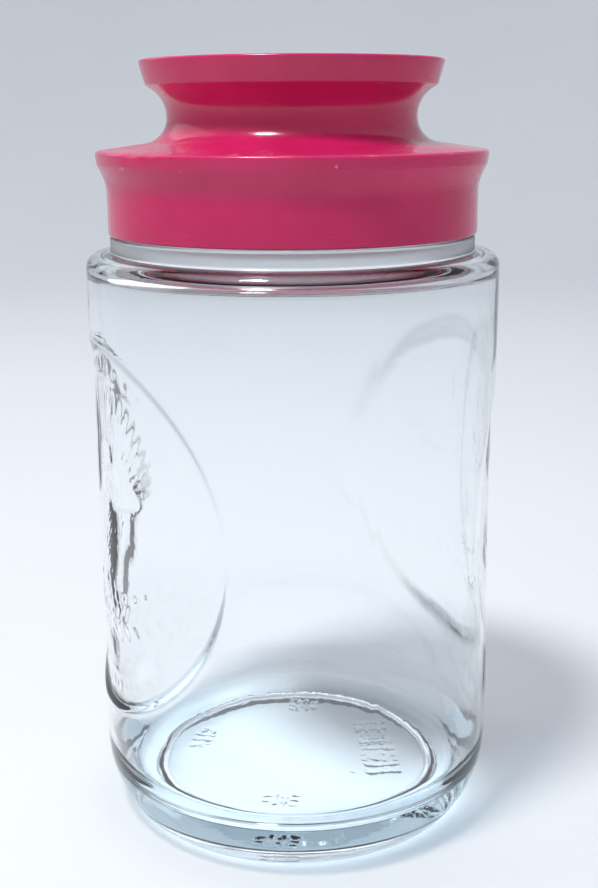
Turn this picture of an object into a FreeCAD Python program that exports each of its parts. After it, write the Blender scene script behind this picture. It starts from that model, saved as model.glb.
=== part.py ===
"""Coin bank jar: a clear glass jar with two pressed medallions, and a waisted lift-off lid.

Millimetres, +Z up, origin on the table under the middle of the jar. The two medallions face -Y and +Y.
The lid is a shell with a slotted cap, and a soft sleeve under it plugs the jar's mouth.
"""

import FreeCAD, Part
import math
import os
import re

import Sketcher

SIZES = [
    # The glass jar, from the table up
    ("body_radius", 71.0, "outside of the straight wall"),
    ("wall", 3.0, "thickness of the straight wall"),
    ("draft_top", 44.0, "the wall is drawn in a little below this height"),
    ("base_radius", 70.2, "outside of the wall where the heel starts"),
    ("heel_rise", 15.0, "height of the corner between heel and wall"),
    ("heel_inset", 9.0, "corner between heel and foot, in from the wall"),
    ("heel_upper_round", 38.0, "slow curve from wall to heel"),
    ("heel_lower_round", 10.0, "quicker curve from heel to foot"),
    ("foot_inner_radius", 53.0, "inner edge of the ring it stands on"),
    ("foot_round", 0.8, "round on that edge"),
    ("pushup_radius", 49.5, "flat part of the raised underside"),
    ("pushup_height", 7.0, "how far the underside is raised"),
    ("pushup_round", 4.0, "round at the edge of that flat part"),
    ("floor_height", 15.5, "inside floor above the table"),
    ("floor_round", 12.5, "round between floor and wall, inside"),
    ("shoulder_height", 202.4, "shoulder where it meets the collar"),
    ("shoulder_drop", 0.8, "fall of the shoulder to its outer edge"),
    ("shoulder_round", 4.2, "outside round of the shoulder"),
    ("shoulder_thickness", 3.6, "glass under the shoulder"),
    ("collar_radius", 62.6, "bead below the lid's skirt"),
    ("collar_top", 208.0, "upper face of that bead"),
    ("bead_round", 1.0, "small rounds of the neck"),
    ("neck_radius", 60.0, "outside of the neck inside the lid"),
    ("mouth_radius", 56.5, "inside of the neck"),
    ("rim_height", 232.9, "top of the glass"),
    # The medallions
    ("medallion_height", 110.5, "middle of the medallions"),
    ("medallion_reach", 64.6, "their radius, measured round the wall"),
    ("recess_depth", 1.3, "how far they lie behind the wall"),
    # The lid shell, from the skirt up
    ("skirt_gap", 0.5, "from the bead to the skirt"),
    ("skirt_radius", 63.15, "outside of the upright skirt"),
    ("skirt_bore", 60.9, "inside of the skirt"),
    ("skirt_top", 225.6, "height where the skirt starts to flare"),
    ("flare_round", 14.0, "slow curve from skirt to flare"),
    ("rim_lower_radius", 66.05, "lower edge of the flange's rim"),
    ("rim_lower", 231.9, "height of that edge"),
    ("rim_round", 2.0, "round of that edge"),
    ("flange_radius", 66.65, "the lid's widest edge"),
    ("flange_height", 236.05, "upper edge of the flange's rim"),
    ("flange_rise", 3.5, "rise of the flange towards the waist"),
    ("flange_round", 1.2, "round of the flange's upper edge"),
    ("waist_radius", 42.35, "narrowest outside radius of the lid"),
    ("waist_lower_round", 8.6, "sweep from waist to flange"),
    ("waist_upper_round", 10.6, "sweep from waist to head"),
    ("head_bottom", 252.9, "where the waist meets the head's slanted underside"),
    ("head_lower_radius", 49.05, "head's lower edge"),
    ("head_lower", 257.3, "height of that edge"),
    ("head_radius", 51.4, "head's upper edge"),
    ("lid_top", 265.4, "top of the lid, the whole height"),
    ("plastic", 2.3, "wall thickness of the waist"),
    ("edge_round", 0.8, "rounds on the lid's outer edges"),
    ("soft_round", 0.5, "rounds on hidden edges"),
    # The seal sleeve and the ring it snaps on
    ("rest_gap", 0.1, "play of the lid at rest"),
    ("running_gap", 0.3, "play between the round fits"),
    ("sleeve_flange", 1.6, "thickness of the sleeve's flange"),
    ("sleeve_flange_radius", 59.3, "outside of the sleeve's flange"),
    ("sleeve_wall", 1.5, "thickness of the sleeve"),
    ("sleeve_bottom", 204.5, "lower end of the sleeve"),
    ("ring_radius", 52.2, "outside of the lid's ring in the sleeve"),
    ("ring_wall", 2.0, "thickness of that ring"),
    ("ring_length", 13.0, "how far that ring hangs down"),
    ("snap_bead", 0.7, "bead on the ring, in the sleeve's groove"),
    ("fin_thickness", 0.9, "root of a sealing fin"),
    ("fin_rise", 0.8, "how far a fin turns up"),
    ("fin_bottom", 211.0, "height of the lowest fin"),
    ("fin_span", 15.0, "from the lowest fin to the highest"),
    ("fin_count", 3, "number of sealing fins"),
    # The knob cap
    ("cap_radius", 48.6, "outside of the cap"),
    ("cap_thickness", 2.4, "thickness of the cap's edge"),
    ("cap_recess", 0.9, "cap below the lid's rim"),
    ("cap_dish", 0.9, "fall of the cap towards the slot"),
    ("cap_edge_width", 4.6, "level band round the dish"),
    ("cap_fit", 0.3, "play round the cap"),
    ("ledge_radius", 46.2, "inner edge of the ledge under the cap"),
    ("spigot_radius", 45.4, "ring under the cap"),
    ("spigot_depth", 3.5, "length of that ring"),
    ("slot_length", 44.0, "coin slot, end to end"),
    ("slot_width", 5.0, "coin slot, across"),
    ("lip_width", 3.0, "raised lip round the slot"),
    ("lip_height", 0.6, "lip above the cap's edge"),
]

CEILING = "rim_height + 2 * rest_gap + sleeve_flange"
RING_BOTTOM = CEILING + " - ring_length"
CAP_FLOOR = "lid_top - cap_recess - cap_thickness"
CAP_TOP = "lid_top - cap_recess"
FULL_TURN = 360.0


def make_sheet(doc):
    """The driving dimensions: a name, a plain number and a note on each row."""
    sheet = doc.addObject("Spreadsheet::Sheet", "Sizes")
    for row, (alias, number, note) in enumerate(SIZES, start=1):
        sheet.set(f"A{row}", alias)
        sheet.set(f"B{row}", str(number))
        sheet.set(f"C{row}", note)
        sheet.setAlias(f"B{row}", alias)
    doc.recompute()
    return sheet


def from_sheet(text):
    """A sum of size names as an expression on the sheet's cells."""
    return re.sub(r"[a-z_]+", lambda word: "Sizes." + word.group(), text)


def number(sheet, text):
    """The value of a sum of size names."""
    return float(sheet.evalExpression(from_sheet(text)))


def origin_feature(body, role):
    """One of the body's own origin planes or axes."""
    return next(item for item in body.Origin.OriginFeatures if item.Role == role)


def add_sketch(body, name, plane):
    """An empty sketch on one of the body's origin planes."""
    sketch = body.newObject("Sketcher::SketchObject", name)
    sketch.AttachmentSupport = (origin_feature(body, plane), [""])
    sketch.MapMode = "FlatFace"
    return sketch


def bind(sketch, constraint, text):
    """A sketch constraint whose value follows the sheet."""
    index = sketch.addConstraint(constraint)
    sketch.setExpression(f"Constraints[{index}]", from_sheet(text))


def place(sketch, geometry, end, across, up, at):
    """A sketch point held at its distances from the two axes; a distance of "0" keeps it on the axis."""
    for kind, text, value, axis in (("DistanceX", across, at.x, -2), ("DistanceY", up, at.y, -1)):
        if text == "0":
            sketch.addConstraint(Sketcher.Constraint("PointOnObject", geometry, end, axis))
        else:
            bind(sketch, Sketcher.Constraint(kind, -1, 1, geometry, end, value), text)


def rounding(before, corner, after, radius):
    """Where a round of that radius starts and ends at a corner, and its centre."""
    backward = (before - corner).normalize()
    forward = (after - corner).normalize()
    half = backward.getAngle(forward) / 2
    reach = radius / math.tan(half)
    middle = (backward + forward).normalize() * (radius / math.sin(half))
    return corner + backward * reach, corner + forward * reach, corner + middle


def round_arc(start, end, centre):
    """The short arc from start to end; the flag is true when it runs anticlockwise."""
    anticlockwise = (start - centre).cross(end - centre).z > 0
    first, last = (start, end) if anticlockwise else (end, start)
    circle = Part.Circle(centre, FreeCAD.Vector(0, 0, 1), (start - centre).Length)
    return Part.ArcOfCircle(circle, circle.parameter(first), circle.parameter(last)), anticlockwise


def add_outline(sketch, sheet, corners):
    """A closed outline of straight sides. Each corner is (across, up) or (across, up, round)."""
    points = [FreeCAD.Vector(number(sheet, c[0]), number(sheet, c[1]), 0) for c in corners]
    count = len(corners)
    starts = list(points)
    ends = list(points)
    centres = [None] * count
    for i, corner in enumerate(corners):
        if len(corner) == 3:
            ends[i], starts[i], centres[i] = rounding(
                points[i - 1], points[i], points[(i + 1) % count], number(sheet, corner[2])
            )
    lines = [
        sketch.addGeometry(Part.LineSegment(starts[i], ends[(i + 1) % count]))
        for i in range(count)
    ]
    for i, corner in enumerate(corners):
        before, after = lines[i - 1], lines[i]
        if centres[i] is None:
            sketch.addConstraint(Sketcher.Constraint("Coincident", before, 2, after, 1))
            place(sketch, after, 1, corner[0], corner[1], points[i])
            continue
        arc, anticlockwise = round_arc(ends[i], starts[i], centres[i])
        bend = sketch.addGeometry(arc)
        first, last = (1, 2) if anticlockwise else (2, 1)
        sharp = sketch.addGeometry(Part.Point(points[i]), True)
        place(sketch, sharp, 1, corner[0], corner[1], points[i])
        sketch.addConstraint(Sketcher.Constraint("PointOnObject", sharp, 1, before))
        sketch.addConstraint(Sketcher.Constraint("PointOnObject", sharp, 1, after))
        sketch.addConstraint(Sketcher.Constraint("Tangent", before, 2, bend, first))
        sketch.addConstraint(Sketcher.Constraint("Tangent", after, 1, bend, last))
        bind(sketch, Sketcher.Constraint("Radius", bend, arc.Radius), corner[2])


def turn_outline(body, sheet, name, corners):
    """The outline, drawn on the XZ plane, turned round the vertical axis."""
    sketch = add_sketch(body, name + "_outline", "XZ_Plane")
    add_outline(sketch, sheet, corners)
    turned = body.newObject("PartDesign::Revolution", name)
    turned.Profile = sketch
    turned.ReferenceAxis = (sketch, ["V_Axis"])
    turned.Angle = FULL_TURN
    sketch.Visibility = False
    return turned


def add_racetrack(sketch, sheet, length, width):
    """A closed slot shape along X: two straight sides and two half-round ends."""
    radius = number(sheet, f"({width}) / 2")
    middle = number(sheet, f"({length}) / 2") - radius
    up = FreeCAD.Vector(0, 0, 1)
    right = Part.Circle(FreeCAD.Vector(middle, 0, 0), up, radius)
    left = Part.Circle(FreeCAD.Vector(-middle, 0, 0), up, radius)
    quarter = math.pi / 2
    right_end = sketch.addGeometry(Part.ArcOfCircle(right, -quarter, quarter))
    left_end = sketch.addGeometry(Part.ArcOfCircle(left, quarter, 3 * quarter))
    upper = sketch.addGeometry(
        Part.LineSegment(FreeCAD.Vector(middle, radius, 0), FreeCAD.Vector(-middle, radius, 0))
    )
    lower = sketch.addGeometry(
        Part.LineSegment(FreeCAD.Vector(-middle, -radius, 0), FreeCAD.Vector(middle, -radius, 0))
    )
    for first, end, second, start in [
        (right_end, 2, upper, 1),
        (upper, 2, left_end, 1),
        (left_end, 2, lower, 1),
        (lower, 2, right_end, 1),
    ]:
        sketch.addConstraint(Sketcher.Constraint("Tangent", first, end, second, start))
    sketch.addConstraint(Sketcher.Constraint("Symmetric", right_end, 3, left_end, 3, -1, 1))
    sketch.addConstraint(Sketcher.Constraint("PointOnObject", right_end, 3, -1))
    bind(sketch, Sketcher.Constraint("Radius", right_end, radius), f"({width}) / 2")
    bind(
        sketch,
        Sketcher.Constraint("DistanceX", -1, 1, right_end, 3, middle),
        f"({length} - {width}) / 2",
    )


def make_vessel(doc, sheet):
    """The jar with a plain wall: foot, heel, wall, shoulder, collar bead and neck, in one turned outline."""
    body = doc.addObject("PartDesign::Body", "Vessel")
    body.Label = "plain_vessel"
    shoulder_edge = "shoulder_height - shoulder_drop"
    turn_outline(body, sheet, "vessel_glass", [
        ("0", "pushup_height"),
        ("pushup_radius", "pushup_height", "pushup_round"),
        ("foot_inner_radius", "0", "foot_round"),
        ("base_radius - heel_inset", "0", "heel_lower_round"),
        ("base_radius", "heel_rise", "heel_upper_round"),
        ("body_radius", "draft_top"),
        ("body_radius", shoulder_edge, "shoulder_round"),
        ("collar_radius", "shoulder_height", "bead_round"),
        ("collar_radius", "collar_top", "bead_round"),
        ("neck_radius", "collar_top", "bead_round / 2"),
        ("neck_radius", "rim_height", "bead_round"),
        ("mouth_radius", "rim_height", "bead_round"),
        ("mouth_radius", "shoulder_height - shoulder_thickness", "2 * bead_round"),
        ("body_radius - wall", shoulder_edge + " - shoulder_thickness", "shoulder_round"),
        ("body_radius - wall", "floor_height", "floor_round"),
        ("0", "floor_height"),
    ])
    return body


def make_recesses(doc):
    """The two shallow round patches that the medallions take out of the wall, on -Y and +Y."""
    outer = doc.addObject("Part::Cylinder", "RecessOuter")
    outer.setExpression("Radius", from_sheet("body_radius + 2 * recess_depth"))
    inner = doc.addObject("Part::Cylinder", "RecessInner")
    inner.setExpression("Radius", from_sheet("body_radius - recess_depth"))
    for cylinder in (outer, inner):
        cylinder.setExpression("Height", from_sheet("shoulder_height"))
    skin = doc.addObject("Part::Cut", "RecessSkin")
    skin.Base = outer
    skin.Tool = inner

    disc = doc.addObject("Part::Ellipse", "MedallionEdge")
    disc.setExpression("MajorRadius", from_sheet("medallion_reach"))
    disc.setExpression(
        "MinorRadius",
        "Sizes.body_radius * sin(Sizes.medallion_reach / Sizes.body_radius * 1 rad)",
    )
    long_axis, short_axis = FreeCAD.Vector(0, 0, 1), FreeCAD.Vector(1, 0, 0)
    upright = FreeCAD.Rotation(long_axis, short_axis, FreeCAD.Vector(0, 1, 0))
    disc.Placement = FreeCAD.Placement(FreeCAD.Vector(), upright)
    disc.setExpression("Placement.Base.z", from_sheet("medallion_height"))
    through = doc.addObject("Part::Extrusion", "MedallionPrism")
    through.Base = disc
    through.Dir = FreeCAD.Vector(0, 1, 0)
    through.DirMode = "Custom"
    through.Solid = True
    through.Symmetric = True
    through.setExpression("LengthFwd", from_sheet("4 * body_radius"))

    patches = doc.addObject("Part::Common", "RecessPatches")
    patches.Base = skin
    patches.Tool = through
    return patches


def make_jar(doc, sheet):
    """jar_glass: the vessel less the two medallion recesses."""
    jar = doc.addObject("Part::Cut", "Jar")
    jar.Label = "jar_glass"
    jar.Base = make_vessel(doc, sheet)
    jar.Tool = make_recesses(doc)
    return jar


def make_lid_shell(doc, sheet):
    """lid_shell: skirt, flange, hollow waist and open flared head, with the ring that the sleeve snaps on."""
    body = doc.addObject("PartDesign::Body", "LidShell")
    body.Label = "lid_shell"
    inner_waist = "waist_radius - plastic"
    ring_bore = "ring_radius - ring_wall"
    inner_flange = "flange_height - plastic + flange_rise"
    turn_outline(body, sheet, "shell_plastic", [
        ("skirt_radius", "collar_top + skirt_gap", "edge_round"),
        ("skirt_radius", "skirt_top", "flare_round"),
        ("rim_lower_radius", "rim_lower", "rim_round"),
        ("flange_radius", "flange_height", "flange_round"),
        ("waist_radius", "flange_height + flange_rise", "waist_lower_round"),
        ("waist_radius", "head_bottom", "waist_upper_round"),
        ("head_lower_radius", "head_lower", "edge_round"),
        ("head_radius", "lid_top", "edge_round"),
        ("cap_radius + cap_fit", "lid_top", "soft_round"),
        ("cap_radius + cap_fit", CAP_FLOOR),
        ("ledge_radius", CAP_FLOOR),
        ("ledge_radius", "head_lower + plastic / 2", "soft_round"),
        (inner_waist, "head_bottom + plastic / 2", "waist_upper_round - plastic"),
        (inner_waist, inner_flange, "waist_lower_round"),
        (ring_bore, inner_flange + " - flange_rise / 2", "soft_round"),
        (ring_bore, RING_BOTTOM, "soft_round"),
        ("ring_radius", RING_BOTTOM, "soft_round"),
        ("ring_radius", RING_BOTTOM + " + snap_bead"),
        ("ring_radius + snap_bead", RING_BOTTOM + " + 2 * snap_bead"),
        ("ring_radius + snap_bead", RING_BOTTOM + " + 3 * snap_bead"),
        ("ring_radius", RING_BOTTOM + " + 4 * snap_bead"),
        ("ring_radius", CEILING),
        ("skirt_bore", CEILING, "soft_round"),
        ("skirt_bore", "collar_top + skirt_gap", "soft_round"),
    ])
    return body


def make_knob_cap(doc, sheet):
    """knob_cap: a dished disc with a ring under it and a lipped coin slot along X."""
    body = doc.addObject("PartDesign::Body", "KnobCap")
    body.Label = "knob_cap"
    spigot_bore = "spigot_radius - plastic"
    turn_outline(body, sheet, "cap_plastic", [
        ("0", CAP_FLOOR + " - cap_dish"),
        (spigot_bore, CAP_FLOOR),
        (spigot_bore, CAP_FLOOR + " - spigot_depth", "soft_round"),
        ("spigot_radius", CAP_FLOOR + " - spigot_depth", "soft_round"),
        ("spigot_radius", CAP_FLOOR),
        ("cap_radius", CAP_FLOOR),
        ("cap_radius", CAP_TOP, "soft_round"),
        ("cap_radius - cap_edge_width", CAP_TOP),
        ("0", CAP_TOP + " - cap_dish"),
    ])

    lip_sketch = add_sketch(body, "lip_outline", "XY_Plane")
    add_racetrack(lip_sketch, sheet, "slot_length + 2 * lip_width", "slot_width + 2 * lip_width")
    lip_sketch.setExpression("AttachmentOffset.Base.z", from_sheet(CAP_TOP + " - cap_dish - lip_height"))
    lip = body.newObject("PartDesign::Pad", "slot_lip")
    lip.Profile = lip_sketch
    lip.setExpression("Length", from_sheet("cap_dish + 2 * lip_height"))
    doc.recompute()
    solid_volume = body.Shape.Volume

    slot_sketch = add_sketch(body, "slot_outline", "XY_Plane")
    add_racetrack(slot_sketch, sheet, "slot_length", "slot_width")
    slot = body.newObject("PartDesign::Pocket", "coin_slot")
    slot.Profile = slot_sketch
    slot.Type = "ThroughAll"
    slot.Reversed = True
    doc.recompute()
    if body.Shape.Volume >= solid_volume:
        raise RuntimeError("the coin slot cuts nothing")
    return body


def make_seal_sleeve(doc, sheet):
    """seal_sleeve: a thin tube with a flange on the glass rim, a snap groove, and fins for the mouth."""
    body = doc.addObject("PartDesign::Body", "SealSleeve")
    body.Label = "seal_sleeve"
    bore = "ring_radius + running_gap"
    outside = bore + " + sleeve_wall"
    groove = bore + " + snap_bead"
    flange_bottom = "rim_height + rest_gap"
    turn_outline(body, sheet, "sleeve_tube", [
        (bore, "sleeve_bottom", "soft_round"),
        (outside, "sleeve_bottom", "soft_round"),
        (outside, flange_bottom),
        ("sleeve_flange_radius", flange_bottom, "soft_round"),
        ("sleeve_flange_radius", flange_bottom + " + sleeve_flange", "soft_round"),
        (bore, flange_bottom + " + sleeve_flange"),
        (bore, RING_BOTTOM + " + 5 * snap_bead"),
        (groove, RING_BOTTOM + " + 4 * snap_bead"),
        (groove, RING_BOTTOM + " + snap_bead"),
        (bore, RING_BOTTOM),
    ])

    fin_tip = "mouth_radius - running_gap"
    fin = turn_outline(body, sheet, "sealing_fin", [
        (bore + " + sleeve_wall / 2", "fin_bottom"),
        (fin_tip, "fin_bottom + fin_rise"),
        (fin_tip, "fin_bottom + fin_rise + fin_thickness / 2"),
        (bore + " + sleeve_wall / 2", "fin_bottom + fin_thickness"),
    ])
    doc.recompute()
    fins = body.newObject("PartDesign::LinearPattern", "sealing_fins")
    fins.Originals = [fin]
    fins.Direction = (origin_feature(body, "Z_Axis"), [""])
    fins.setExpression("Length", from_sheet("fin_span"))
    fins.setExpression("Occurrences", from_sheet("fin_count"))
    body.Tip = fins
    return body


def check(doc, parts):
    """Stops on any failed object, and on a sub-part that isn't a sound solid."""
    for item in doc.Objects:
        if {"Invalid", "Error"} & set(item.State):
            raise RuntimeError(f"{item.Name} ({item.Label}) failed: {item.State}")
    for part in parts:
        if part.Shape.isNull() or not part.Shape.isValid() or not part.Shape.Solids:
            raise RuntimeError(f"{part.Label} has no sound solid")


def main():
    doc = FreeCAD.newDocument("CoinBankJar")
    sheet = make_sheet(doc)
    parts = [maker(doc, sheet) for maker in (make_jar, make_lid_shell, make_knob_cap, make_seal_sleeve)]
    doc.recompute()
    check(doc, parts)
    os.makedirs("parts", exist_ok=True)
    for part in parts:
        part.Shape.exportStep(f"parts/{part.Label}.step")
        box = part.Shape.BoundBox
        print(
            f"{part.Label}: {part.Shape.Volume / 1000:.1f} cm3, {len(part.Shape.Solids)} solid, "
            f"z {box.ZMin:.2f} to {box.ZMax:.2f}, radius {box.XMax:.2f}"
        )


main()
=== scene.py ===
"""Coin bank jar: the looks. Pressed glass with its relief, a moulded red lid, and a plain pale studio.

Metres in Blender. Outlines and relief are worked out in millimetres, like the CAD model's sizes.
Angles round the jar start at -Y, where one medallion faces, and grow towards +X.
"""

import math

import bpy
import numpy as np
from mathutils import Matrix, Vector


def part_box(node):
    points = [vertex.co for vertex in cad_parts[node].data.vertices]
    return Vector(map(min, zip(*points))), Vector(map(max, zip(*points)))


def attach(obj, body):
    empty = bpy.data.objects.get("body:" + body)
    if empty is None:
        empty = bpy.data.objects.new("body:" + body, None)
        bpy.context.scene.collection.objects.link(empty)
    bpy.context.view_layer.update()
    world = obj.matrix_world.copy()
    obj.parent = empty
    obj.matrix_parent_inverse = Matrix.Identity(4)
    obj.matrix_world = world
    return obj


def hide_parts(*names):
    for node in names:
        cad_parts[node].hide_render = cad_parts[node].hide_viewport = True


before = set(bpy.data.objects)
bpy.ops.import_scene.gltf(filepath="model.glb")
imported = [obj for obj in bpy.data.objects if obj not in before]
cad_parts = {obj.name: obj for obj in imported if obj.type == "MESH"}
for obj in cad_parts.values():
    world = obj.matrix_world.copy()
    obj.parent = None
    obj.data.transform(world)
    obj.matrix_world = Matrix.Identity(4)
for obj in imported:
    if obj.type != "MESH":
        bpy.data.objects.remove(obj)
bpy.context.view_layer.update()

MM = 0.001

# Places on the jar, in millimetres, as in the CAD model
BODY_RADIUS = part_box("jar_glass")[1].y / MM
WALL = 3.0
FLOOR_HEIGHT = 15.5
PUSHUP_HEIGHT = 7.0
DRAFT_START = 24.0
FOOT_RING = (53.3, 55.7)
FOOT_LEVEL = 0.3
COLLAR = (202.6, 208.2)
MEDALLION_HEIGHT = 110.5
MEDALLION_REACH = 64.6
RECESS_DEPTH = 1.3
# Each medallion's direction, the widths of its sloping edge on the right and on the left, and the share
# of the relief that came out of the mould
MEDALLIONS = ((0.0, (2.3, 12.0), 0.45), (math.pi, (9.0, 9.0), 0.25))
# The underside's marks lie between two radii, and the ring it stands on is knurled
MARKS = (22.0, 44.0)
MARKS_DEPTH = 0.35
KNURL_DEPTH = 0.35

# Places on the lid, in millimetres
CHIPPED_RIM = (65.5, 66.0)
# The skirt's inside, below its ceiling, takes the lid's painted glow
SKIRT_INSIDE = (61.0, 61.2)
SKIRT_CEILING = 235.2

# How fine the meshes are, and where
BAND = MEDALLION_REACH + 1.2
FINE_STEP = 0.97
MARKS_STEP = 1.0
WALL_STEP = 3.0
SMOOTH_STEP = 6.0
LID_STEP = 2.5
LID_COLUMNS = 288

# The camera, in body radii and degrees
CAMERA_AZIMUTH = 69.17
CAMERA_DISTANCE = 6.179
CAMERA_HEIGHT = 3.497
CAMERA_PITCH = -14.13
CAMERA_ROLL = -0.33
CAMERA_YAW = -0.23
CAMERA_LENS = 51.05
CAMERA_SHIFT = -0.0163

rng = np.random.default_rng(7)


# ---------------------------------------------------------------- outlines

def seam_outline(node):
    """The outline that a turned CAD node was made from, as (radius, height) points along its seam at +X."""
    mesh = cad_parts[node].data
    places = {
        vertex.index: (round(vertex.co.x / MM, 3), round(vertex.co.z / MM, 3))
        for vertex in mesh.vertices
        if abs(vertex.co.y) < 2e-6 and vertex.co.x > 0
    }
    links = {place: set() for place in places.values()}
    for edge in mesh.edges:
        a, b = (places.get(index) for index in edge.vertices)
        if a and b and a != b:
            links[a].add(b)
            links[b].add(a)
    ends = [place for place, near in links.items() if len(near) < 2]
    here = min(ends or links, key=lambda place: (place[0], place[1]))
    path = [here]
    left = set(links) - {here}
    while left:
        near = links[here] & left
        if near:
            here = min(near, key=lambda place: math.dist(place, here))
        else:
            here = min(left, key=lambda place: (10 * abs(place[1] - here[1]) + abs(place[0] - here[0])))
        path.append(here)
        left.discard(here)
    return [np.array(place) for place in path]


def divided(points, step):
    """The same outline with its long runs cut into even pieces. step gives a length for each place."""
    result = [points[0]]
    for a, b in zip(points, points[1:]):
        length = np.linalg.norm(b - a)
        count = max(1, round(length / step((a + b) / 2)))
        result += [a + (b - a) * k / count for k in range(1, count + 1)]
    return result


# ---------------------------------------------------------------- turned meshes

def turned(name, rows, closed):
    """A mesh from rows of points, each an array of (x, y, z) in millimetres. A row of one point is a tip.
    A row with half as many points as its neighbour meets every second one of them."""
    starts = np.cumsum([0] + [len(row) for row in rows])
    rings = [range(starts[i], starts[i + 1]) for i in range(len(rows))]
    pairs = list(zip(rings, rings[1:]))
    if closed:
        pairs.append((rings[-1], rings[0]))
    faces = []
    for lower, upper in pairs:
        faces += ring_faces(lower, upper)
    mesh = bpy.data.meshes.new(name)
    mesh.from_pydata(np.concatenate(rows) * MM, [], faces)
    mesh.polygons.foreach_set("use_smooth", [True] * len(mesh.polygons))
    mesh.update()
    piece = bpy.data.objects.new(name, mesh)
    bpy.context.collection.objects.link(piece)
    return piece


def ring_faces(lower, upper):
    """The faces between two rings, which face outwards when the outline runs up the outside."""
    low, high = len(lower), len(upper)
    if low == 1:
        return [(lower[0], upper[(i + 1) % high], upper[i]) for i in range(high)]
    if high == 1:
        return [(upper[0], lower[i], lower[(i + 1) % low]) for i in range(low)]
    if low == high:
        return [(lower[i], lower[(i + 1) % low], upper[(i + 1) % low], upper[i]) for i in range(low)]
    if low < high:
        return [
            (lower[i], lower[(i + 1) % low], upper[(2 * i + 2) % high], upper[2 * i + 1], upper[2 * i])
            for i in range(low)
        ]
    return [
        (lower[2 * i], lower[2 * i + 1], lower[(2 * i + 2) % low], upper[(i + 1) % high], upper[i])
        for i in range(high)
    ]


def ring(radius, height, angles):
    """One row of points at those angles. Radius and height may differ from point to point."""
    across = np.broadcast_to(radius, angles.shape)
    up = np.broadcast_to(height, angles.shape)
    return np.stack([across * np.sin(angles), -across * np.cos(angles), up], 1)


# ---------------------------------------------------------------- the medallions' relief

def ease(x):
    """A soft step from 0 at 0 to 1 at 1."""
    x = np.clip(x, 0, 1)
    return x * x * (3 - 2 * x)


def leaf(u, v, start, end, width, height):
    """A raised leaf or feather, widest near its start, with a groove along its middle."""
    along = np.subtract(end, start)
    length = np.hypot(*along)
    along = along / length
    share = ((u - start[0]) * along[0] + (v - start[1]) * along[1]) / length
    across = (v - start[1]) * along[0] - (u - start[0]) * along[1]
    half = width / 2 * np.sin(math.pi * np.clip(share, 0.001, 0.999) ** 0.62) ** 0.6
    dome = ease(1 - (across / half) ** 2) * ease(6 * share) * ease(2.2 * (1 - share))
    return height * dome * (1 - 0.35 * np.exp(-((across / 0.8) ** 2)))


def dome(u, v, centre, radii, height, turn=0.0):
    """A raised oval."""
    c, s = math.cos(turn), math.sin(turn)
    x = ((u - centre[0]) * c + (v - centre[1]) * s) / radii[0]
    y = ((v - centre[1]) * c - (u - centre[0]) * s) / radii[1]
    return height * ease(1.1 * (1 - x * x - y * y))


def fan(u, v, root, first, last, lengths, count, width, height):
    """Feathers that spread from one place between two angles."""
    result = np.zeros_like(u)
    for share in np.linspace(0, 1, count):
        angle = math.radians(first + (last - first) * share)
        length = lengths[0] + (lengths[1] - lengths[0]) * share
        tip = (root[0] + length * math.cos(angle), root[1] + length * math.sin(angle))
        result = np.maximum(result, leaf(u, v, root, tip, width, height))
    return result


def wing(u, v):
    """The right wing, raised: flight feathers, a shorter row over them, and a scaly shoulder."""
    flight = fan(u, v, (9, 12), 92, 20, (44, 36), 10, 6.4, 0.75)
    cover = fan(u, v, (8, 11), 86, 8, (27, 24), 8, 6.2, 0.62)
    shoulder = dome(u, v, (13, 19), (11, 7.5), 0.75, math.radians(45))
    scales = 0.16 * np.sin(2.1 * u) * np.sin(2.1 * v)
    covered = cover + 0.25 * ease(cover / 0.4)
    return np.maximum.reduce([flight, covered, shoulder + (0.3 + scales) * ease(shoulder / 0.4)])


def bird(u, v):
    """A plain bird with raised wings, looking to the right."""
    wings = np.maximum(wing(u, v), wing(-u, v))
    feathers = 0.2 * np.sin(2.3 * u + 0.9 * np.sin(1.2 * v)) * np.sin(1.9 * v)
    body = dome(u, v, (0, -2), (14, 22), 0.8, math.radians(-8))
    body = body + feathers * ease(3 * body)
    neck = dome(u, v, (3.5, 15), (9, 12), 0.85, math.radians(-12))
    head = dome(u, v, (6, 25), (8.5, 7.5), 0.95) - 0.5 * dome(u, v, (8, 26), (1.8, 1.8), 1)
    beak = leaf(u, v, (10, 25.5), (20, 22), 4.5, 0.8)
    tail = fan(u, v, (-2, -14), -70, -118, (24, 22), 5, 6.5, 0.7)
    legs = np.maximum(leaf(u, v, (4, -17), (9, -31), 4, 0.8), leaf(u, v, (-7, -17), (-9, -31), 4, 0.8))
    return np.maximum.reduce([wings, tail, legs, body, neck, head, beak])


def branch(u, v):
    """The laurel branch under the bird: a curved stem, pairs of leaves and berries."""
    def stem_height(across):
        return -33 + 0.009 * across**2

    result = 0.7 * np.exp(-(((v - stem_height(u)) / 1.3) ** 2)) * (np.abs(u) < 42)
    for across in np.arange(-39, 44, 6.5):
        root = (across, stem_height(across))
        lean = math.copysign(1, across)
        for side in (-1, 1):
            tip = (across + lean * 7.5, root[1] + side * 7.5 + 1.5)
            result = np.maximum(result, leaf(u, v, root, tip, 4.4, 0.8))
        berry = (across + lean * 3, root[1] + 9.5)
        result = np.maximum(result, dome(u, v, berry, (1.6, 1.6), 0.7))
    return result


def border(u, v):
    """Small raised dots inside the medallion's edge, and a fine ring inside them."""
    around = np.arctan2(u, v)
    reach = np.hypot(u, v)
    count = 48
    nearest = np.round(around * count / (2 * math.pi)) * 2 * math.pi / count
    dot_place = MEDALLION_REACH - 7.5
    gap = np.hypot(u - dot_place * np.sin(nearest), v - dot_place * np.cos(nearest))
    dots = 0.3 * ease(1 - (gap / 1.9) ** 2)
    line = 0.16 * np.exp(-(((reach - MEDALLION_REACH + 11.5) / 1.0) ** 2))
    return np.maximum(dots, line)


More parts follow.
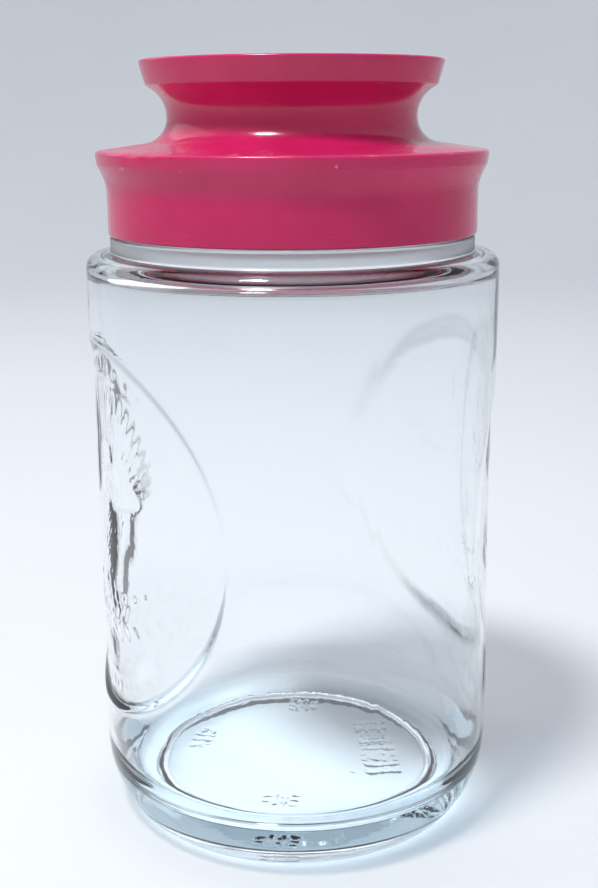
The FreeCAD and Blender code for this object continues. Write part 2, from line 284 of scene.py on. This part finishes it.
def medallion(u, v, slopes, share):
    """How far the surface stands out from the plain wall at places measured round and up from the middle
    of a medallion: a recess with a sloping edge, and the relief on its ground."""
    reach = np.hypot(u, v)
    slope = slopes[0] + (slopes[1] - slopes[0]) * ease(-u / 45)
    inside = ease((MEDALLION_REACH - reach) / slope)
    lip = 1.1 / slope**2 * np.exp(-(((reach - MEDALLION_REACH - 0.5) / 0.8) ** 2))
    relief = share * np.maximum.reduce([bird(u, v), branch(u, v), border(u, v)])
    grain = 0.03 * share * rng.standard_normal(u.shape) * (relief > 0.1)
    ground = 0.05 * np.sin(0.21 * u + 0.6 * np.sin(0.17 * v)) * np.sin(0.19 * v)
    raised = np.minimum(relief + grain, RECESS_DEPTH - 0.1) + ground
    return inside * (raised - RECESS_DEPTH) + (1 - inside) * lip


# ---------------------------------------------------------------- the glass

def wall_angles():
    """Columns of the outer wall, close together on the medallions and at the mould seams."""
    quarter = BODY_RADIUS * math.pi / 2
    fine = 2 * round(BAND / FINE_STEP / 2)
    arcs = np.concatenate([
        np.linspace(0, BAND, fine + 1),
        np.linspace(BAND, quarter - 1.5, 18)[1:],
        np.linspace(quarter - 1.5, quarter, 4)[1:],
    ])
    turn = arcs / BODY_RADIUS
    half = np.concatenate([turn, math.pi - turn[-2::-1]])
    return np.concatenate([half, math.pi + half[1:-1]])


def unevenness(angles, height):
    """The slow waves of pressed glass, from -1 to 1."""
    waves = np.sin(3 * angles + 0.021 * height + 1.1) + np.sin(5 * angles - 0.034 * height)
    streaks = np.sin(11 * angles + 0.008 * height + 0.7) + np.sin(17 * angles - 0.006 * height + 2.0)
    return 0.25 * (waves + streaks)


def seam_ridge(angles):
    """The mould's two parting lines, at +X and -X."""
    away = BODY_RADIUS * np.arccos(np.clip(np.abs(np.sin(angles)), 0, 1))
    return 0.028 * np.exp(-((away / 1.2) ** 2))


def base_marks(x, y):
    """Plain groups of bars and rungs pressed in the underside, as depths from 0 to 1. Each group is given
    by its angle round the base, its distance out, its half sizes along and across, and its pitch."""
    result = np.zeros_like(x)
    for azimuth, reach, along_size, across_size, pitch in (
        (74, 31, 19.5, 6.0, 5.2),
        (-126, 38, 7.5, 3.4, 3.6),
        (155, 37, 5.5, 4.6, 3.2),
        (-30, 36, 6.5, 4.6, 3.4),
        (31, 24, 1.0, 3.0, 9.0),
    ):
        turn = math.radians(azimuth)
        out = x * math.cos(turn) + y * math.sin(turn) - reach
        along = y * math.cos(turn) - x * math.sin(turn)
        inside = (np.abs(along) < along_size) & (np.abs(out) < across_size)
        cell = np.floor(along / pitch)
        bar = np.abs(along / pitch - cell - 0.5) < 0.16
        rung = np.abs(np.mod(out + 1.9 * cell, 3.8) - 1.9) < 0.55
        shape = np.where(np.mod(cell, 3) == 1, rung, bar | (rung & (np.mod(cell, 2) == 0)))
        result = np.maximum(result, inside & shape)
    return result


def on_wall(radius, height):
    """Whether a place of the outline is on the outside of the straight wall."""
    return radius > BODY_RADIUS - 1 and height > DRAFT_START


def in_band(height):
    """Whether a height is within the medallions' reach."""
    return abs(height - MEDALLION_HEIGHT) < BAND


def under_base(radius, height):
    """Whether a place of the outline is on the marked underside or the ring round it."""
    return height < PUSHUP_HEIGHT + 1 and MARKS[0] < radius < FOOT_RING[1]


def glass_row(radius, height, wall, even):
    """One row of the glass. Rows across the medallions, the marks and the foot ring have a point in each
    fine column; the others have half as many, evener, columns."""
    fine_even = np.linspace(0, 2 * math.pi, len(wall), endpoint=False)
    if on_wall(radius, height) and in_band(height):
        offset = np.zeros_like(wall)
        for facing, slopes, share in MEDALLIONS:
            turn = (wall - facing + math.pi) % (2 * math.pi) - math.pi
            near = np.abs(turn) * BODY_RADIUS < BAND
            u = turn[near] * BODY_RADIUS
            offset[near] += medallion(u, np.full_like(u, height - MEDALLION_HEIGHT), slopes, share)
        return ring(radius + offset + seam_ridge(wall), height, wall)
    if on_wall(radius, height):
        nearness = ease((BAND + 24 - abs(height - MEDALLION_HEIGHT)) / 24)
        angles = even + (wall[::2] - even) * nearness
        return ring(radius + seam_ridge(angles) * nearness, height, angles)
    if radius < BODY_RADIUS - WALL + 0.1 and height > FLOOR_HEIGHT + 1:
        return ring(radius - 0.1 * (1 + unevenness(even, height)), height, even)
    if height < FOOT_LEVEL and FOOT_RING[0] < radius < FOOT_RING[1]:
        return ring(radius, height + KNURL_DEPTH * (np.arange(len(wall)) % 2), fine_even)
    if under_base(radius, height):
        depth = base_marks(radius * np.sin(fine_even), -radius * np.cos(fine_even))
        return ring(radius, height - MARKS_DEPTH * depth * (radius < MARKS[1]), fine_even)
    return ring(radius, height, even)


def make_glass():
    """The jar: underside, heel, wall with medallions, shoulder, neck, and the smooth inside."""
    def step(place):
        if on_wall(*place):
            return FINE_STEP if in_band(place[1]) else WALL_STEP
        return MARKS_STEP if under_base(*place) else SMOOTH_STEP

    seam = seam_outline("jar_glass")
    wall_bottom = max(p[1] for p in seam if p[0] > BODY_RADIUS - 0.01 and p[1] < MEDALLION_HEIGHT)
    wall_top = min(p[1] for p in seam if p[0] > BODY_RADIUS - 0.01 and p[1] > MEDALLION_HEIGHT)
    outline = [np.array((0.0, seam[0][1])), np.array((MARKS[0], seam[0][1]))]
    for point in seam:
        outline.append(point)
        if point[0] > BODY_RADIUS - 0.01 and point[1] == wall_bottom and wall_top > point[1]:
            outline.append(np.array((BODY_RADIUS, MEDALLION_HEIGHT - BAND)))
            outline.append(np.array((BODY_RADIUS, MEDALLION_HEIGHT + BAND)))
    outline.append(np.array((0.0, seam[-1][1])))
    outline = divided(outline, step)
    wall = wall_angles()
    even = np.linspace(0, 2 * math.pi, len(wall) // 2, endpoint=False)
    rows = []
    for radius, height in outline:
        if radius < 1e-6:
            rows.append(np.array([[0.0, 0.0, height]]))
        else:
            rows.append(glass_row(radius, height, wall, even))
    return turned("pressed_glass", rows, closed=False)


# ---------------------------------------------------------------- the lid

def nicks(angles, height):
    """A few small dents in the flange's rim, each with its direction, height, width in radians and depth."""
    result = np.zeros_like(angles)
    for where, level, width, depth in (
        (math.radians(20), 235.6, 0.05, 0.5),
        (math.radians(28), 235.9, 0.03, 0.35),
        (math.radians(104), 233.4, 0.012, 0.5),
        (math.radians(200), 235.2, 0.03, 0.4),
        (math.radians(301), 234.6, 0.02, 0.45),
    ):
        turn = (angles - where + math.pi) % (2 * math.pi) - math.pi
        result += depth * np.exp(-((turn / width) ** 2) - ((height - level) / 0.9) ** 2)
    return result


def make_lid():
    """The lid shell, turned from the CAD outline with slight moulding warp and nicks in its rim."""
    outline = seam_outline("lid_shell")
    outline = divided(outline + outline[:1], lambda place: LID_STEP)[:-1]
    angles = np.linspace(0, 2 * math.pi, LID_COLUMNS, endpoint=False)
    rows = []
    for radius, height in outline:
        warp = 0.05 * np.sin(2 * angles + 0.02 * height) + 0.03 * np.sin(5 * angles + 1.0)
        dents = nicks(angles, height) * (radius > 65)
        rows.append(ring(radius - 0.05 + 0.5 * warp - dents, height, angles))
    return turned("moulded_lid", rows, closed=True)


# ---------------------------------------------------------------- materials

class Nodes:
    """A material's or world's node tree, with a short way to add and join nodes."""

    def __init__(self, owner):
        owner.use_nodes = True
        self.tree = owner.node_tree
        self.tree.nodes.clear()

    def add(self, kind, settings=None, **inputs):
        """A node of that kind. An input is a number, a colour or another node's output; _0 is the first."""
        node = self.tree.nodes.new(kind)
        for name, value in (settings or {}).items():
            setattr(node, name, value)
        for name, value in inputs.items():
            socket = node.inputs[int(name[1:])] if name[0] == "_" else node.inputs[name.replace("_", " ")]
            if isinstance(value, bpy.types.NodeSocket):
                self.tree.links.new(value, socket)
            else:
                socket.default_value = value
        return node

    def math(self, operation, first, second=0.0):
        return self.add("ShaderNodeMath", {"operation": operation}, _0=first, _1=second).outputs[0]

    def noise(self, where, scale, detail=3.0, roughness=0.5):
        made = self.add("ShaderNodeTexNoise", Vector=where, Scale=scale, Detail=detail, Roughness=roughness)
        return made.outputs["Fac"]

    def span(self, value, low, high, to_low, to_high):
        """The value moved from one range to another and kept in it."""
        made = self.add(
            "ShaderNodeMapRange", From_Min=low, From_Max=high, To_Min=to_low, To_Max=to_high, Value=value
        )
        return made.outputs[0]

    def mix(self, share, first, second):
        """A colour between two colours."""
        return self.add("ShaderNodeMix", {"data_type": "RGBA"}, _0=share, _6=first, _7=second).outputs[2]

    def bump(self, height, strength, distance, normal=None):
        inputs = {"Height": height, "Strength": strength, "Distance": distance}
        if normal:
            inputs["Normal"] = normal
        return self.add("ShaderNodeBump", **inputs).outputs[0]

    def place(self):
        return self.add("ShaderNodeTexCoord").outputs["Object"]

    def stretched(self, where, scale):
        return self.add("ShaderNodeMapping", Vector=where, Scale=scale).outputs[0]


def glass_material():
    """Clear pressed glass with a trace of blue in its depth, faint ripples and smudges, and a frosted
    collar under the lid. Its shadow is painted: shadow rays pass a tinted transparent surface, darker at
    grazing edges."""
    material = bpy.data.materials.new("clear_pressed_glass")
    nodes = Nodes(material)
    place = nodes.place()
    ripple = nodes.noise(nodes.stretched(place, (1.0, 1.0, 0.35)), 55.0, 2.0)
    fine = nodes.noise(place, 420.0, 2.0)
    normal = nodes.bump(fine, 0.05, 0.0002, nodes.bump(ripple, 0.10, 0.0012))
    smudge = nodes.noise(place, 18.0, 5.0, 0.6)
    height = nodes.add("ShaderNodeSeparateXYZ", Vector=place).outputs["Z"]
    above = nodes.span(height, COLLAR[0] * MM, (COLLAR[0] + 0.8) * MM, 0.0, 0.42)
    below = nodes.span(height, COLLAR[1] * MM, (COLLAR[1] + 0.3) * MM, 1.0, 0.0)
    frost = nodes.math("MULTIPLY", above, below)
    roughness = nodes.math("ADD", nodes.span(smudge, 0.52, 0.78, 0.0, 0.07), frost)
    surface = nodes.add(
        "ShaderNodeBsdfPrincipled",
        Base_Color=(0.985, 0.995, 1.0, 1.0),
        Roughness=roughness,
        IOR=1.5,
        Transmission_Weight=1.0,
        Normal=normal,
    )
    # Painted shadow: shadow rays pass a transparent surface tinted pale where it faces the light and darker
    # at grazing edges, in place of light bent through the glass
    facing = nodes.add("ShaderNodeLayerWeight", Blend=0.35).outputs["Facing"]
    front, edge = (0.95, 0.97, 0.98, 1.0), (0.42, 0.5, 0.56, 1.0)
    painted_shadow_tint = nodes.mix(nodes.span(facing, 0.2, 1.0, 0.0, 1.0), front, edge)
    clear = nodes.add("ShaderNodeBsdfTransparent", Color=painted_shadow_tint)
    shadow = nodes.add("ShaderNodeLightPath").outputs["Is Shadow Ray"]
    both = nodes.add("ShaderNodeMixShader", _0=shadow, _1=surface.outputs[0], _2=clear.outputs[0])
    depth = nodes.add("ShaderNodeVolumeAbsorption", Color=(0.74, 0.90, 0.96, 1.0), Density=12.0)
    nodes.add("ShaderNodeOutputMaterial", Surface=both.outputs[0], Volume=depth.outputs[0])
    return material


def red_material():
    """Glossy crimson styrene: slight mottling, rubbed patches, turning scratches, paler worn edges, a few
    small chips on the rim, and a painted glow inside the skirt: a dark red emission in place of light
    soaking through it."""
    material = bpy.data.materials.new("crimson_styrene")
    nodes = Nodes(material)
    place = nodes.place()
    mottle = nodes.noise(place, 35.0, 4.0)
    dark, light = (0.50, 0.010, 0.088, 1.0), (0.60, 0.016, 0.115, 1.0)
    colour = nodes.mix(nodes.span(mottle, 0.3, 0.7, 0.0, 1.0), dark, light)
    pointed = nodes.add("ShaderNodeNewGeometry").outputs["Pointiness"]
    worn = nodes.math("MULTIPLY", nodes.span(pointed, 0.53, 0.6, 0.0, 1.0), nodes.noise(place, 160.0, 3.0))
    colour = nodes.mix(nodes.math("MULTIPLY", worn, 0.5), colour, (0.85, 0.22, 0.30, 1.0))
    level = nodes.stretched(place, (1.0, 1.0, 0.0))
    out = nodes.add("ShaderNodeVectorMath", {"operation": "LENGTH"}, Vector=level).outputs["Value"]
    chipped = nodes.span(nodes.noise(place, 240.0, 3.0), 0.70, 0.74, 0.0, 0.4)
    on_rim = nodes.span(out, CHIPPED_RIM[0] * MM, CHIPPED_RIM[1] * MM, 0.0, 1.0)
    chips = nodes.math("MULTIPLY", chipped, on_rim)
    colour = nodes.mix(chips, colour, (0.80, 0.45, 0.50, 1.0))
    height = nodes.add("ShaderNodeSeparateXYZ", Vector=place).outputs["Z"]
    # Painted glow: the skirt's inside, below its ceiling, emits dark red light that stands in for light
    # soaking through the plastic
    within = nodes.span(out, SKIRT_INSIDE[0] * MM, SKIRT_INSIDE[1] * MM, 1.0, 0.0)
    painted_glow_mask = nodes.math("MULTIPLY", within, nodes.math("LESS_THAN", height, SKIRT_CEILING * MM))
    rubbed = nodes.noise(nodes.stretched(place, (1.0, 1.0, 3.0)), 26.0, 6.0, 0.65)
    scratches = nodes.noise(nodes.stretched(place, (8.0, 8.0, 260.0)), 9.0, 2.0)
    scratched = nodes.math("MULTIPLY", nodes.span(scratches, 0.62, 0.72, 0.0, 1.0), rubbed)
    rubbing = nodes.span(rubbed, 0.4, 0.75, 0.12, 0.3)
    roughness = nodes.math("ADD", rubbing, nodes.math("MULTIPLY", scratched, 0.2))
    peel = nodes.bump(nodes.noise(place, 260.0, 2.0), 0.06, 0.0003)
    normal = nodes.bump(scratched, 0.12, 0.0002, peel)
    surface = nodes.add(
        "ShaderNodeBsdfPrincipled",
        Base_Color=colour,
        Roughness=roughness,
        IOR=1.48,
        Normal=normal,
        Emission_Color=(0.50, 0.008, 0.075, 1.0),
        Emission_Strength=nodes.math("MULTIPLY", painted_glow_mask, 0.75),
    )
    nodes.add("ShaderNodeOutputMaterial", Surface=surface.outputs[0])
    return material


def polyethylene_material():
    """Cloudy natural polyethylene, slightly see-through."""
    material = bpy.data.materials.new("cloudy_polyethylene")
    nodes = Nodes(material)
    place = nodes.place()
    cloud = nodes.noise(place, 60.0, 4.0)
    colour = nodes.mix(cloud, (0.74, 0.79, 0.86, 1.0), (0.86, 0.89, 0.92, 1.0))
    surface = nodes.add(
        "ShaderNodeBsdfPrincipled",
        Base_Color=colour,
        Roughness=nodes.span(cloud, 0.3, 0.7, 0.35, 0.55),
        IOR=1.51,
        Subsurface_Weight=0.5,
        Subsurface_Scale=0.004,
        Normal=nodes.bump(nodes.noise(place, 300.0), 0.1, 0.0003),
    )
    nodes.add("ShaderNodeOutputMaterial", Surface=surface.outputs[0])
    return material


def studio_material():
    """The pale matt ground, with a barely visible grain."""
    material = bpy.data.materials.new("studio_ground")
    nodes = Nodes(material)
    grain = nodes.noise(nodes.place(), 3.0, 5.0)
    surface = nodes.add(
        "ShaderNodeBsdfPrincipled",
        Base_Color=nodes.mix(grain, (0.70, 0.715, 0.735, 1.0), (0.75, 0.76, 0.775, 1.0)),
        Roughness=0.85,
    )
    nodes.add("ShaderNodeOutputMaterial", Surface=surface.outputs[0])
    return material


# ---------------------------------------------------------------- studio

def make_ground():
    """A round floor that turns up into a low wall all round, so that no view shows an edge."""
    flat, bend, wall = 1.5, 0.9, 1.9
    outline = [(flat * k / 6, 0.0) for k in range(7)]
    turns = np.linspace(0.1, math.pi / 2, 16)
    outline += [(flat + bend * math.sin(t), bend - bend * math.cos(t)) for t in turns]
    outline.append((flat + bend, wall))
    angles = np.linspace(0, 2 * math.pi, 96, endpoint=False)
    rows = [ring(radius / MM, height / MM, angles) for radius, height in outline[1:]]
    ground = turned("studio_ground", [np.zeros((1, 3))] + rows, closed=False)
    ground.data.materials.append(studio_material())


def direction(azimuth, elevation):
    """The unit vector from the jar towards that side. Azimuth 0 is -Y and 90 is +X."""
    a, e = math.radians(azimuth), math.radians(elevation)
    return Vector((math.sin(a) * math.cos(e), -math.cos(a) * math.cos(e), math.sin(e)))


def soft_light(name, azimuth, elevation, distance, size, power, colour=(1.0, 1.0, 1.0)):
    """A round soft light that looks at the jar's middle."""
    light = bpy.data.lights.new(name, "AREA")
    light.shape = "DISK"
    light.size = size
    light.energy = power
    light.color = colour
    lamp = bpy.data.objects.new(name, light)
    towards = direction(azimuth, elevation)
    lamp.location = towards * distance + Vector((0, 0, MEDALLION_HEIGHT * MM))
    lamp.rotation_euler = towards.to_track_quat("Z", "Y").to_euler()
    bpy.context.collection.objects.link(lamp)


def make_world():
    """A dim even sky over the studio wall."""
    world = bpy.data.worlds.new("studio_sky")
    nodes = Nodes(world)
    background = nodes.add("ShaderNodeBackground", Color=(0.84, 0.90, 1.0, 1.0), Strength=0.62)
    nodes.add("ShaderNodeOutputWorld", Surface=background.outputs[0])
    bpy.context.scene.world = world


def make_camera():
    """The camera at the height and distance worked out in body radii, looking slightly down at the jar."""
    data = bpy.data.cameras.new("camera")
    data.lens = CAMERA_LENS
    data.shift_y = CAMERA_SHIFT
    camera = bpy.data.objects.new("camera", data)
    level = Matrix.Rotation(math.radians(90 + CAMERA_PITCH), 4, "X")
    turn = Matrix.Rotation(math.radians(CAMERA_AZIMUTH + CAMERA_YAW), 4, "Z")
    roll = Matrix.Rotation(math.radians(CAMERA_ROLL), 4, "Z")
    radius = BODY_RADIUS * MM
    where = direction(CAMERA_AZIMUTH, 0) * CAMERA_DISTANCE * radius + Vector((0, 0, CAMERA_HEIGHT * radius))
    camera.matrix_world = Matrix.Translation(where) @ turn @ level @ roll
    bpy.context.collection.objects.link(camera)
    bpy.context.scene.camera = camera


# ---------------------------------------------------------------- the scene

bpy.context.scene.view_settings.view_transform = "Standard"
make_camera()
make_world()
make_ground()
soft_light("key", CAMERA_AZIMUTH - 40, 68, 1.6, 0.3, 19)
soft_light("left_side", CAMERA_AZIMUTH - 125, 38, 1.9, 1.6, 5)
soft_light("back", CAMERA_AZIMUTH + 170, 58, 1.9, 1.4, 5)

glass = make_glass()
glass.data.materials.append(glass_material())
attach(glass, "jar")
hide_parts("jar_glass")

red = red_material()
lid = make_lid()
lid.data.materials.append(red)
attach(lid, "lid")
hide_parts("lid_shell")
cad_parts["knob_cap"].data.materials[0] = red
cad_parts["seal_sleeve"].data.materials[0] = polyethylene_material()
